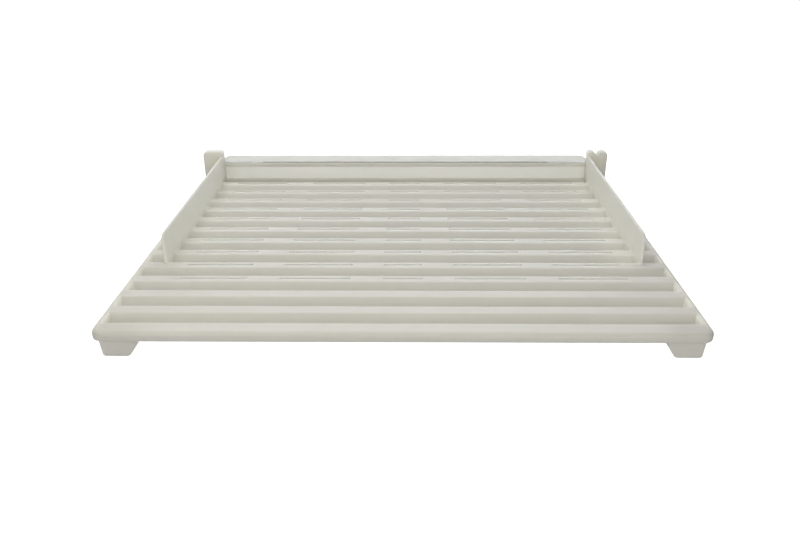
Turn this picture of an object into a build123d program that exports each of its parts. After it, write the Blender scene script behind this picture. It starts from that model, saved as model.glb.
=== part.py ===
"""Crisper drawer cover: a moulded, fluted refrigerator shelf lid with two side
walls, a low back wall, two rear ears, four lugs underneath, and a clear strip
that stands in a groove along the back wall.

Millimetres.  X runs across the cover, -Y is the front (nose), +Y the rear,
Z = 0 is the plane that the four lugs stand on.
"""

import os
from math import cos, radians, sin, sqrt, tan

from build123d import *

os.makedirs("parts", exist_ok=True)

# ---------------------------------------------------------------- dimensions
cover_w = 480.0          # across the outer edges of the deck
cover_d = 368.4          # nose to the back of the rear rim
corner_r = 9.0           # plan radius of the four deck corners
nose_r = 3.6             # rounding of the deck's top outer edge
skirt_r = 1.0            # rounding of the skirt's lower edge
lug_h = 13.8             # lugs below the skirt
skirt_h = 8.2            # skirt, from the top of the lands down
sheet_t = 2.5            # thickness of the fluted sheet
skirt_t = 3.0            # thickness of the skirt

pitch = 27.70            # land to land
front_land = 14.5        # nose to the rear edge of the first land
flute_n = 13             # flutes between the nose and the back wall
flute_chord = 17.8       # width of one flute at land height
flute_slope = 36.0       # degrees, both sides of a flute
flute_bottom_r = 3.8     # rounding along the bottom of a flute
flute_edge_r = 3.6       # rounding where a flute turns into a land
flute_end = 234.2        # the flutes stop this far from the middle
flute_end_slope = 68.0   # degrees, closed ends of the flutes

slot_w = 3.0             # vent slots, on the lands between the walls
slot_back = 4.4          # slot centre line, ahead of the land's rear edge
slot_first_land = 3      # lands 3 to 12, counted from the nose, have slots
slot_last_land = 12
slot_runs = [(-196.7, -135.8), (-108.3, -45.0), (-17.6, 17.6),
             (45.0, 108.3), (135.8, 196.7)]

wall_x = 214.8           # inner face of each side wall
wall_t = 2.6
wall_h = 28.4            # above the lands
wall_front = 122.2       # front end of the walls, from the nose
wall_front_rake = 2.0
wall_back = 367.2        # rear end of the walls, inside the ears
wall_front_r = 6.0       # rounding of the wall's front top corner
wall_base_r = 1.6        # blend along the wall's inner foot
wall_top_r = 0.9
wall_sunk = 6.2          # the walls reach this far below the lands

back_y = 364.0           # front face of the back wall, from the nose
back_t = 2.6
back_h = 18.8            # top of the rim, above the lands
rim_front = 361.0        # the rim overhangs the wall at the front
rim_under = 13.6         # where the rim's underside meets the wall
rim_nose = 17.2
rim_r = 0.8

ear_w = 23.6             # from the wall's inner face outwards
ear_front = 355.6
ear_back = 368.0
ear_h = 33.7             # above the lands
ear_r = 5.5              # outer top corner
ear_front_r = 3.0         # rounding all round the ear's front face
ear_edge_r = 1.0
ear_wall = 2.2
ear_roof = 30.0
notch_a, notch_b, notch_c = 222.0, 226.8, 229.0     # vee in one ear's top
notch_depth = 5.4

lug_top = (202.7, 233.2)       # lug at the skirt, inner and outer X
lug_bottom = (210.9, 231.9)    # lug at its foot
lug_depth = 30.0
lug_front = 0.9                # front lugs, from the nose
lug_rear = 304.0               # rear lugs, from the nose
lug_wall = 3.0
lug_roof = 1.5
lug_inner_r = 4.5              # rounding of the lug's foot corners
lug_outer_r = 2.6
lug_edge_r = 0.9

rib_x = [-123.0, -31.6, 31.6, 123.0]   # stiffening ribs underneath
rib_t = 2.2

strip_t = 2.0            # clear strip
strip_top = 27.2         # above the lands
strip_half = 214.4
strip_tongue = 169.0     # half length of the tongue that sits in the groove
strip_run, strip_drop = 8.5, 3.4   # arc at the strip's free top corners
strip_slit = 0.9         # gap under the strip's free ends
groove_t = 2.2
groove_depth = 3.2
groove_y = 364.8         # middle of the groove, from the nose

# ------------------------------------------------------------ derived values
nose_y = -cover_d / 2
deck_z = lug_h + skirt_h          # top of the lands
skirt_z = lug_h                   # underside of the skirt
half_chord = flute_chord / 2
slope = radians(flute_slope)
end_slope = radians(flute_end_slope)
flute_cz = deck_z - half_chord * tan(slope) + flute_bottom_r / cos(slope)
flute_depth = deck_z - flute_cz + flute_bottom_r
edge_t = flute_edge_r * tan(slope / 2)        # tangent length of an edge rounding
end_t = flute_edge_r * tan(end_slope / 2)
edge_y = half_chord + edge_t
strip_arc = (strip_run**2 + strip_drop**2) / (2 * strip_drop)
strip_mid = strip_arc - sqrt(strip_arc**2 - (0.55 * strip_run) ** 2)
flute_y = [nose_y + front_land + half_chord + i * pitch for i in range(flute_n)]


def flute_points(yc):
    """Points of one flute's section: edge roundings, straight sides, round bottom."""
    low_y, low_z = flute_bottom_r * sin(slope), flute_cz - flute_bottom_r * cos(slope)
    mid_y = edge_y - flute_edge_r * sin(slope / 2)
    mid_z = deck_z - flute_edge_r * (1 - cos(slope / 2))
    tan_y, tan_z = half_chord - edge_t * cos(slope), deck_z - edge_t * sin(slope)
    return {
        "land_f": (yc - edge_y, deck_z), "mid_f": (yc - mid_y, mid_z),
        "tan_f": (yc - tan_y, tan_z), "low_f": (yc - low_y, low_z),
        "low": (yc, flute_cz - flute_bottom_r), "low_r": (yc + low_y, low_z),
        "tan_r": (yc + tan_y, tan_z), "mid_r": (yc + mid_y, mid_z),
        "land_r": (yc + edge_y, deck_z),
    }


# ---------------------------------------------- right-hand wall, ear and lug
with BuildPart() as wall:
    with BuildSketch(Plane.YZ.offset(wall_x)) as wall_sketch:
        with BuildLine():
            Polyline((nose_y + wall_front, deck_z - wall_sunk),
                     (nose_y + wall_front, deck_z),
                     (nose_y + wall_front + wall_front_rake, deck_z + wall_h),
                     (nose_y + wall_back, deck_z + wall_h),
                     (nose_y + wall_back, deck_z - wall_sunk),
                     close=True)
        make_face()
        fillet(wall_sketch.vertices().group_by(Axis.Y)[-1].sort_by(Axis.X)[0],
               wall_front_r)
    extrude(amount=wall_t)

with BuildPart() as ear:
    with BuildSketch(Plane.XZ.offset(-(nose_y + ear_front))) as ear_sketch:
        with BuildLine():
            Polyline((wall_x, deck_z - 7), (wall_x, deck_z + ear_h),
                     (wall_x + ear_w, deck_z + ear_h), (wall_x + ear_w, deck_z - 7),
                     close=True)
        make_face()
        fillet(ear_sketch.vertices().group_by(Axis.Y)[-1].sort_by(Axis.X)[-1], ear_r)
        fillet(ear_sketch.vertices().group_by(Axis.Y)[-1].sort_by(Axis.X)[0],
               ear_front_r + 0.1)
    extrude(amount=-(ear_back - ear_front))
    fillet(ear.edges().filter_by(
        lambda e: e.bounding_box().size.Y < 0.01 and e.bounding_box().max.Z > deck_z
        and e.center().Y < nose_y + ear_front + 0.1), ear_front_r)
    fillet(ear.edges().filter_by(
        lambda e: e.bounding_box().size.Y < 0.01 and e.bounding_box().max.Z > deck_z
        and e.center().Y > nose_y + ear_back - 0.1), ear_edge_r)

with BuildPart() as lug:
    with BuildSketch(Plane.XZ.offset(-(nose_y + lug_front))) as lug_sketch:
        with BuildLine():
            Polyline((lug_top[0] - 0.65, skirt_z + 1.0), (lug_bottom[0], 0),
                     (lug_bottom[1], 0), (lug_top[1] + 0.13, skirt_z + 1.0),
                     close=True)
        make_face()
        fillet(lug_sketch.vertices().group_by(Axis.Y)[0].sort_by(Axis.X)[0], lug_inner_r)
        fillet(lug_sketch.vertices().group_by(Axis.Y)[0].sort_by(Axis.X)[-1], lug_outer_r)
    extrude(amount=-lug_depth)
    fillet(lug.edges().filter_by(
        lambda e: e.bounding_box().size.Y < 0.01
        and e.bounding_box().min.Z < skirt_z + 0.5), lug_edge_r)

# ------------------------------------------------------------- moulded cover
with BuildPart() as cover:
    # plate with rounded corners and a rounded nose
    with BuildSketch(Plane.XY.offset(skirt_z)):
        RectangleRounded(cover_w, cover_d, corner_r)
    extrude(amount=skirt_h)
    fillet(cover.faces().sort_by(Axis.Z)[-1].edges(), nose_r)
    fillet(cover.faces().sort_by(Axis.Z)[0].edges(), skirt_r)

    # hollow underside, one pocket below each land
    with BuildSketch(Plane.YZ):
        with Locations((0, (skirt_z - 1 + deck_z - sheet_t) / 2)):
            Rectangle(cover_d - 2 * skirt_t, skirt_h - sheet_t + 1)
        shell_r = flute_bottom_r + sheet_t
        shell_y = half_chord + sheet_t / sin(slope)
        for yc in flute_y:
            with BuildLine():
                Line((yc - shell_y, deck_z),
                     (yc - shell_r * sin(slope), flute_cz - shell_r * cos(slope)))
                ThreePointArc((yc - shell_r * sin(slope), flute_cz - shell_r * cos(slope)),
                              (yc, flute_cz - shell_r),
                              (yc + shell_r * sin(slope), flute_cz - shell_r * cos(slope)))
                Line((yc + shell_r * sin(slope), flute_cz - shell_r * cos(slope)),
                     (yc + shell_y, deck_z))
                Line((yc + shell_y, deck_z), (yc - shell_y, deck_z))
            make_face(mode=Mode.SUBTRACT)
    extrude(amount=cover_w / 2 - skirt_t, both=True, mode=Mode.SUBTRACT)

    # stiffening ribs below the sheet
    with BuildSketch(Plane.XY.offset(skirt_z)):
        with Locations(*[(x, 0) for x in rib_x]):
            Rectangle(rib_t, cover_d - skirt_t)
    extrude(amount=skirt_h - 1.2)

    # flutes across the top
    for yc in flute_y:
        p = flute_points(yc)
        with BuildSketch(Plane.YZ):
            with BuildLine():
                ThreePointArc(p["land_f"], p["mid_f"], p["tan_f"])
                Line(p["tan_f"], p["low_f"])
                ThreePointArc(p["low_f"], p["low"], p["low_r"])
                Line(p["low_r"], p["tan_r"])
                ThreePointArc(p["tan_r"], p["mid_r"], p["land_r"])
                Polyline(p["land_r"], (p["land_r"][0], deck_z + 3),
                         (p["land_f"][0], deck_z + 3), p["land_f"])
            make_face()
        extrude(amount=flute_end + end_t, both=True, mode=Mode.SUBTRACT)

    # closed, sloping ends of the flutes, along both side edges
    low = deck_z - flute_depth - 0.6
    for side in (-1, 1):
        with BuildSketch(Plane.XZ):
            with BuildLine():
                ThreePointArc((side * (flute_end + end_t), deck_z),
                              (side * (flute_end + end_t - flute_edge_r * sin(end_slope / 2)),
                               deck_z - flute_edge_r * (1 - cos(end_slope / 2))),
                              (side * (flute_end - end_t * cos(end_slope)),
                               deck_z - end_t * sin(end_slope)))
                Polyline((side * (flute_end - end_t * cos(end_slope)),
                          deck_z - end_t * sin(end_slope)),
                         (side * (flute_end - (deck_z - low) / tan(end_slope)), low),
                         (side * (flute_end + end_t + 0.4), low),
                         (side * (flute_end + end_t + 0.4), deck_z),
                         (side * (flute_end + end_t), deck_z))
            make_face()
        extrude(amount=cover_d / 2 - 6, both=True)

    # side walls, with a blend along their inner foot
    add(wall.part)
    mirror(wall.part, about=Plane.YZ)
    foot_edges = cover.edges().filter_by(
        lambda e: abs(abs(e.center().X) - wall_x) < 0.01
        and abs(e.bounding_box().size.X) < 0.01
        and e.bounding_box().max.Z < deck_z + 0.05
        and e.bounding_box().min.Z > deck_z - flute_depth - 0.05
        and e.bounding_box().max.Y > nose_y + wall_front + 0.5)
    fillet(foot_edges, wall_base_r)
    fillet(cover.edges().filter_by(
        lambda e: e.bounding_box().min.Z > deck_z + wall_h - 0.05
        and e.bounding_box().size.Y > 50), wall_top_r)

    # back wall with its overhanging rim
    with BuildSketch(Plane.YZ) as rim_sketch:
        with BuildLine():
            Polyline((nose_y + back_y, deck_z - wall_sunk),
                     (nose_y + back_y, deck_z + rim_under),
                     (nose_y + rim_front, deck_z + rim_nose),
                     (nose_y + rim_front, deck_z + back_h),
                     (nose_y + cover_d, deck_z + back_h),
                     (nose_y + cover_d, deck_z + rim_nose - 1.5),
                     (nose_y + back_y + back_t, deck_z + rim_under),
                     (nose_y + back_y + back_t, deck_z - wall_sunk),
                     close=True)
        make_face()
        fillet(rim_sketch.vertices().group_by(Axis.Y)[-1], rim_r)
    extrude(amount=wall_x + 0.5, both=True)

    # groove for the clear strip
    with BuildSketch(Plane.XY.offset(deck_z + back_h - groove_depth)):
        with Locations((0, nose_y + groove_y)):
            Rectangle(2 * wall_x, groove_t)
    extrude(amount=groove_depth + 1, mode=Mode.SUBTRACT)

    # ears at the rear ends of the walls, hollow from below
    add(ear.part)
    mirror(ear.part, about=Plane.YZ)
    with BuildSketch(Plane.XY.offset(skirt_z - 1)):
        with Locations(*[(side * (wall_x + ear_w / 2),
                          nose_y + (ear_front + ear_back) / 2) for side in (-1, 1)]):
            RectangleRounded(ear_w - 2 * ear_wall,
                             ear_back - ear_front - 2 * ear_wall, 1.5)
    extrude(amount=skirt_h + 1 + ear_h - ear_roof, mode=Mode.SUBTRACT)

    # vee in the top of the right-hand ear
    with BuildSketch(Plane.XZ.offset(-(nose_y + ear_front - 2))):
        with BuildLine():
            Polyline((notch_a, deck_z + ear_h), (notch_b, deck_z + ear_h - notch_depth),
                     (notch_c, deck_z + ear_h), (notch_c, deck_z + ear_h + 2),
                     (notch_a, deck_z + ear_h + 2), close=True)
        make_face()
    extrude(amount=-(ear_back - ear_front + 4), mode=Mode.SUBTRACT)

    # vent slots through the lands
    for land in range(slot_first_land, slot_last_land + 1):
        y = nose_y + front_land + land * pitch - slot_back
        with BuildSketch(Plane.XY.offset(deck_z - sheet_t - 0.6)):
            for x0, x1 in slot_runs:
                with Locations(((x0 + x1) / 2, y)):
                    SlotOverall(x1 - x0, slot_w)
        extrude(amount=sheet_t + 2, mode=Mode.SUBTRACT)

    # four lugs, hollow from below
    rear_lug = lug.part.moved(Location((0, lug_rear - lug_front, 0)))
    add(lug.part)
    add(rear_lug)
    mirror(lug.part, about=Plane.YZ)
    mirror(rear_lug, about=Plane.YZ)
    for start in (lug_front, lug_rear):
        for side in (-1, 1):
            with BuildSketch(Plane.XZ.offset(-(nose_y + start + lug_wall))):
                with BuildLine():
                    Polyline((side * (lug_top[0] + 4.6), skirt_z - lug_roof),
                             (side * (lug_bottom[0] + 4.2), -1),
                             (side * (lug_bottom[1] - lug_wall), -1),
                             (side * (lug_top[1] - lug_wall - 0.2), skirt_z - lug_roof),
                             close=True)
                make_face()
            extrude(amount=-(lug_depth - 2 * lug_wall), mode=Mode.SUBTRACT)

cover.part.label = "cover"
export_step(cover.part, "parts/cover.step")

# --------------------------------------------------------------- clear strip
with BuildPart() as rear_strip:
    with BuildSketch(Plane.XZ.offset(-(nose_y + groove_y - strip_t / 2))) as strip_sketch:
        with BuildLine():
            Polyline((strip_half, deck_z + strip_top - strip_drop),
                     (strip_half, deck_z + back_h + strip_slit),
                     (strip_tongue, deck_z + back_h + strip_slit),
                     (strip_tongue, deck_z + back_h - groove_depth),
                     (-strip_tongue, deck_z + back_h - groove_depth),
                     (-strip_tongue, deck_z + back_h + strip_slit),
                     (-strip_half, deck_z + back_h + strip_slit),
                     (-strip_half, deck_z + strip_top - strip_drop))
            ThreePointArc((-strip_half, deck_z + strip_top - strip_drop),
                          (-strip_half + strip_run * 0.45,
                           deck_z + strip_top - strip_mid),
                          (-strip_half + strip_run, deck_z + strip_top))
            Line((-strip_half + strip_run, deck_z + strip_top),
                 (strip_half - strip_run, deck_z + strip_top))
            ThreePointArc((strip_half - strip_run, deck_z + strip_top),
                          (strip_half - strip_run * 0.45,
                           deck_z + strip_top - strip_mid),
                          (strip_half, deck_z + strip_top - strip_drop))
        make_face()
    extrude(amount=-strip_t)
    fillet(rear_strip.edges().filter_by(
        lambda e: e.bounding_box().size.Y < 0.01
        and e.bounding_box().min.Z > deck_z + strip_top - strip_drop - 0.1), 0.5)

rear_strip.part.label = "rear_strip"
export_step(rear_strip.part, "parts/rear_strip.step")

for name, made in (("cover", cover), ("rear_strip", rear_strip)):
    box = made.part.bounding_box()
    print(name, len(made.part.solids()), "solid(s)", round(made.part.volume / 1000, 1),
          "cm3", [round(v, 2) for v in (*box.min, *box.max)])
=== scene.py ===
"""Looks of the crisper drawer cover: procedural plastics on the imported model, a
plain white floor, soft studio light from behind and in front, and a camera at
the front."""

import math

import bpy
from mathutils import Matrix, Vector

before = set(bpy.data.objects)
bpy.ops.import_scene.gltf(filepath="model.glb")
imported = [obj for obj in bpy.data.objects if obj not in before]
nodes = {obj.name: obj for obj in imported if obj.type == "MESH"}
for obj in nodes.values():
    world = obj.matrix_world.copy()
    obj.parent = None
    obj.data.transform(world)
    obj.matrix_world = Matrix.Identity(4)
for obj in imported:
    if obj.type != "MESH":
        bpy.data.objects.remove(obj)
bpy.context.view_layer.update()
scene = bpy.context.scene

DECK_Z = 0.0220          # top of the lands
FLUTE_Z = 0.0164         # bottom of the flutes


# ------------------------------------------------------------------ materials
class Mat:
    """Small helper around a material's node tree."""

    def __init__(self, name):
        self.mat = bpy.data.materials.new(name)
        self.mat.use_nodes = True
        self.tree = self.mat.node_tree
        self.tree.nodes.clear()
        self.out = self.node("ShaderNodeOutputMaterial")
        self.bsdf = self.node("ShaderNodeBsdfPrincipled")
        self.link(self.bsdf, "BSDF", self.out, "Surface")

    def node(self, kind, **props):
        n = self.tree.nodes.new(kind)
        for k, v in props.items():
            setattr(n, k, v)
        return n

    def link(self, a, out, b, inp):
        self.tree.links.new(a.outputs[out], b.inputs[inp])

    def noise(self, coord, scale, detail=3.0, rough=0.5, stretch=(1, 1, 1), shift=(0, 0, 0)):
        m = self.node("ShaderNodeMapping")
        m.inputs["Scale"].default_value = stretch
        m.inputs["Location"].default_value = shift
        self.link(coord, "Object", m, "Vector")
        n = self.node("ShaderNodeTexNoise")
        n.inputs["Scale"].default_value = scale
        n.inputs["Detail"].default_value = detail
        n.inputs["Roughness"].default_value = rough
        self.link(m, "Vector", n, "Vector")
        return n

    def remap(self, src, out, lo, hi, to_lo, to_hi, kind="SMOOTHSTEP"):
        r = self.node("ShaderNodeMapRange", interpolation_type=kind)
        r.inputs["From Min"].default_value = lo
        r.inputs["From Max"].default_value = hi
        r.inputs["To Min"].default_value = to_lo
        r.inputs["To Max"].default_value = to_hi
        self.link(src, out, r, "Value")
        return r

    def math(self, op, a, a_out, b=None, b_out=None, value=None):
        m = self.node("ShaderNodeMath", operation=op)
        self.tree.links.new(a.outputs[a_out], m.inputs[0])
        if b is not None:
            self.tree.links.new(b.outputs[b_out], m.inputs[1])
        elif value is not None:
            m.inputs[1].default_value = value
        return m

    def mix(self, fac, fac_out, a, b):
        """Colour mix; a and b are colours or (node, output) pairs."""
        m = self.node("ShaderNodeMix", data_type="RGBA")
        self.tree.links.new(fac.outputs[fac_out], m.inputs["Factor"])
        for key, v in ((6, a), (7, b)):
            if hasattr(v[0], "outputs"):
                self.tree.links.new(v[0].outputs[v[1]], m.inputs[key])
            else:
                m.inputs[key].default_value = (*v, 1.0)
        return m


def cream_plastic():
    m = Mat("cream_plastic")
    b = m.bsdf
    coord = m.node("ShaderNodeTexCoord")

    # slow drift of tone over the moulding, then a finer mottle and specks
    drift = m.noise(coord, 7.0, 2.0, 0.5)
    drift_f = m.remap(drift, "Fac", 0.32, 0.68, 0.0, 1.0)
    base = m.mix(drift_f, "Result", (0.838, 0.834, 0.760), (0.868, 0.865, 0.794))
    mottle = m.noise(coord, 85.0, 4.0, 0.6)
    mottle_f = m.remap(mottle, "Fac", 0.35, 0.70, 0.0, 0.30)
    tone = m.mix(mottle_f, "Result", (base, 2), (0.888, 0.883, 0.810))
    speck = m.noise(coord, 1500.0, 2.0, 0.7)
    speck_f = m.remap(speck, "Fac", 0.62, 0.80, 0.0, 0.22)
    toned = m.mix(speck_f, "Result", (tone, 2), (0.770, 0.762, 0.696))

    # painted shade: the colour darkens in uneven patches low in the flutes, slots and corners,
    # where ambient occlusion is high
    ao = m.node("ShaderNodeAmbientOcclusion", samples=6, only_local=True)
    ao.inputs["Distance"].default_value = 0.009
    shade_patch_noise = m.noise(coord, 38.0, 5.0, 0.65)
    ao_shade_mask = m.remap(ao, "AO", 0.35, 0.92, 1.0, 0.0)
    shade_patch_mask = m.remap(shade_patch_noise, "Fac", 0.30, 0.72, 0.25, 1.0)
    painted_shade = m.math("MULTIPLY", ao_shade_mask, "Result", shade_patch_mask, "Result")
    painted_shade_fac = m.math("MULTIPLY", painted_shade, "Value", value=0.45)
    colour = m.mix(painted_shade_fac, "Value", (toned, 2), (0.640, 0.632, 0.570))
    m.link(colour, 2, b, "Base Color")

    # satin surface, a little more rubbed on top of the lands
    pos = m.node("ShaderNodeNewGeometry")
    xyz = m.node("ShaderNodeSeparateXYZ")
    m.link(pos, "Position", xyz, "Vector")
    land = m.remap(xyz, "Z", FLUTE_Z + 0.003, DECK_Z, 0.0, 1.0)
    rub_n = m.noise(coord, 26.0, 6.0, 0.62, stretch=(0.35, 1.0, 1.0))
    rub = m.remap(rub_n, "Fac", 0.36, 0.66, 0.46, 0.34)
    rough = m.node("ShaderNodeMix", data_type="FLOAT")
    m.tree.links.new(land.outputs["Result"], rough.inputs[0])
    rough.inputs[2].default_value = 0.47
    m.tree.links.new(rub.outputs["Result"], rough.inputs[3])
    m.tree.links.new(rough.outputs[0], b.inputs["Roughness"])

    # fine moulded grain, a soft unevenness and hairline scuffs along the flutes
    grain = m.noise(coord, 2600.0, 2.0, 0.55)
    peel = m.noise(coord, 140.0, 3.0, 0.5)
    scuff = m.noise(coord, 900.0, 3.0, 0.7, stretch=(0.012, 1.0, 1.0))
    g1 = m.node("ShaderNodeBump")
    g1.inputs["Strength"].default_value = 0.10
    g1.inputs["Distance"].default_value = 0.00018
    m.link(grain, "Fac", g1, "Height")
    g2 = m.node("ShaderNodeBump")
    g2.inputs["Strength"].default_value = 0.10
    g2.inputs["Distance"].default_value = 0.0009
    m.link(peel, "Fac", g2, "Height")
    m.link(g1, "Normal", g2, "Normal")
    g3 = m.node("ShaderNodeBump")
    g3.inputs["Strength"].default_value = 0.06
    g3.inputs["Distance"].default_value = 0.0003
    m.link(scuff, "Fac", g3, "Height")
    m.link(g2, "Normal", g3, "Normal")
    m.link(g3, "Normal", b, "Normal")

    b.inputs["IOR"].default_value = 1.49
    b.inputs["Specular IOR Level"].default_value = 0.42
    b.inputs["Subsurface Weight"].default_value = 0.85
    b.inputs["Subsurface Radius"].default_value = (0.95, 0.97, 1.0)
    b.inputs["Subsurface Scale"].default_value = 0.0110
    return m.mat


def clear_plastic():
    m = Mat("clear_plastic")
    b = m.bsdf
    coord = m.node("ShaderNodeTexCoord")
    haze = m.noise(coord, 30.0, 4.0, 0.6, stretch=(0.3, 1.0, 1.0))
    haze_f = m.remap(haze, "Fac", 0.30, 0.70, 0.0, 1.0)
    tint = m.mix(haze_f, "Result", (0.690, 0.697, 0.700), (0.740, 0.746, 0.747))
    m.link(tint, 2, b, "Base Color")
    rough = m.remap(haze, "Fac", 0.30, 0.75, 0.10, 0.24)
    m.link(rough, "Result", b, "Roughness")
    wave = m.noise(coord, 18.0, 2.0, 0.5)
    bump = m.node("ShaderNodeBump")
    bump.inputs["Strength"].default_value = 0.03
    bump.inputs["Distance"].default_value = 0.0004
    m.link(wave, "Fac", bump, "Height")
    m.link(bump, "Normal", b, "Normal")
    b.inputs["IOR"].default_value = 1.49
    b.inputs["Alpha"].default_value = 0.55
    return m.mat


def dress(node, material):
    obj = nodes[node]
    obj.data.materials.clear()
    obj.data.materials.append(material)


dress("cover", cream_plastic())
dress("rear_strip", clear_plastic())

# ---------------------------------------------------------------------- stage
floor_mesh = bpy.data.meshes.new("floor")
s = 40.0
floor_mesh.from_pydata([(-s, -s, 0), (s, -s, 0), (s, s, 0), (-s, s, 0)], [], [(0, 1, 2, 3)])
floor = bpy.data.objects.new("floor", floor_mesh)
scene.collection.objects.link(floor)
fm = Mat("pale_floor")
fc = fm.node("ShaderNodeTexCoord")
fn = fm.noise(fc, 3.0, 2.0, 0.5)
ff = fm.remap(fn, "Fac", 0.3, 0.7, 0.0, 1.0)
fmix = fm.mix(ff, "Result", (0.86, 0.86, 0.86), (0.88, 0.88, 0.88))
fm.link(fmix, 2, fm.bsdf, "Base Color")
fm.bsdf.inputs["Roughness"].default_value = 0.9
fm.bsdf.inputs["Specular IOR Level"].default_value = 0.1
fm.bsdf.inputs["Emission Color"].default_value = (1, 1, 1, 1)
fm.bsdf.inputs["Emission Strength"].default_value = 0.95
floor.data.materials.append(fm.mat)
floor.visible_diffuse = False

# --------------------------------------------------------------------- lights
# red, green and blue strength of the sky above, the dim surround below, and in
# watts of each soft box
LIGHT = {
    "sky": (0.060, 0.061, 0.062),
    "low": (0.240, 0.238, 0.230),
    "rear_key": (6.9, 6.85, 6.6),
    "overhead": (0.2, 0.2, 0.2),
    "front_high": (1.56, 1.48, 1.27),
    "left": (1.8, 1.8, 1.7),
    "right": (1.1, 1.1, 1.06),
    "rear_low": (4.6, 4.9, 5.6),
    "front_low": (4.9, 4.8, 4.6),
}

world = bpy.data.worlds.new("studio")
scene.world = world
world.use_nodes = True
wt = world.node_tree
wt.nodes.clear()
w_out = wt.nodes.new("ShaderNodeOutputWorld")
w_bg = wt.nodes.new("ShaderNodeBackground")
w_tc = wt.nodes.new("ShaderNodeTexCoord")
w_xyz = wt.nodes.new("ShaderNodeSeparateXYZ")
w_ramp = wt.nodes.new("ShaderNodeValToRGB")
w_map = wt.nodes.new("ShaderNodeMapRange")
w_map.inputs["From Min"].default_value = -1.0
w_map.inputs["From Max"].default_value = 1.0
wt.links.new(w_tc.outputs["Generated"], w_xyz.inputs[0])
wt.links.new(w_xyz.outputs["Z"], w_map.inputs["Value"])
wt.links.new(w_map.outputs["Result"], w_ramp.inputs["Fac"])
wt.links.new(w_ramp.outputs["Color"], w_bg.inputs["Color"])
wt.links.new(w_bg.outputs["Background"], w_out.inputs["Surface"])
stops = w_ramp.color_ramp.elements
stops[0].position = 0.47
stops[0].color = (*LIGHT["low"], 1)
stops[1].position = 0.53
stops[1].color = (*LIGHT["sky"], 1)


def soft_box(name, loc, aim, size, size_y):
    rgb = LIGHT[name]
    d = bpy.data.lights.new(name, "AREA")
    d.shape = "RECTANGLE"
    d.size, d.size_y = size, size_y
    d.energy = max(rgb)
    d.color = [c / max(max(rgb), 1e-6) for c in rgb]
    o = bpy.data.objects.new(name, d)
    scene.collection.objects.link(o)
    o.location = loc
    o.rotation_euler = (Vector(aim) - Vector(loc)).to_track_quat("-Z", "Y").to_euler()
    return o


soft_box("rear_key", (-0.07, 0.64, 0.84), (0.0, 0.05, 0.0), 1.3, 0.42)
soft_box("overhead", (0.0, 0.05, 1.60), (0.0, 0.0, 0.0), 1.8, 1.2)
soft_box("front_high", (-0.08, -0.50, 0.46), (0.0, -0.14, 0.0), 1.0, 0.25)
soft_box("left", (-1.25, 0.05, 0.50), (0.0, 0.0, 0.02), 0.7, 0.7)
soft_box("right", (1.25, 0.05, 0.50), (0.0, 0.0, 0.02), 0.7, 0.7)
soft_box("rear_low", (0.0, 1.30, 0.30), (0.0, 0.0, 0.03), 1.6, 0.4)
soft_box("front_low", (0.0, -1.40, 0.25), (0.0, 0.0, 0.03), 1.6, 0.4)

# --------------------------------------------------------------------- camera
FOCAL_PX, FRAME_W = 740.0, 800.0
pitch, roll, yaw = math.radians(25.76), math.radians(-0.28), math.radians(-0.89)
cam_pos = Vector((0.0071, -0.6685, 0.3123))
fw = Vector((math.sin(yaw) * math.cos(pitch), math.cos(yaw) * math.cos(pitch), -math.sin(pitch)))
rt = Vector((math.cos(yaw), -math.sin(yaw), 0.0))
up_v = rt.cross(fw)
rt2 = rt * math.cos(roll) + up_v * math.sin(roll)
up2 = up_v * math.cos(roll) - rt * math.sin(roll)
cam_data = bpy.data.cameras.new("camera")
cam_data.sensor_fit = "HORIZONTAL"
cam_data.sensor_width = 36.0
cam_data.lens = FOCAL_PX / FRAME_W * 36.0
cam_data.clip_start, cam_data.clip_end = 0.01, 50.0
camera = bpy.data.objects.new("camera", cam_data)
scene.collection.objects.link(camera)
camera.matrix_world = Matrix((
    (rt2.x, up2.x, -fw.x, cam_pos.x),
    (rt2.y, up2.y, -fw.y, cam_pos.y),
    (rt2.z, up2.z, -fw.z, cam_pos.z),
    (0, 0, 0, 1)))
scene.camera = camera

scene.view_settings.view_transform = "Standard"
scene.view_settings.look = "None"
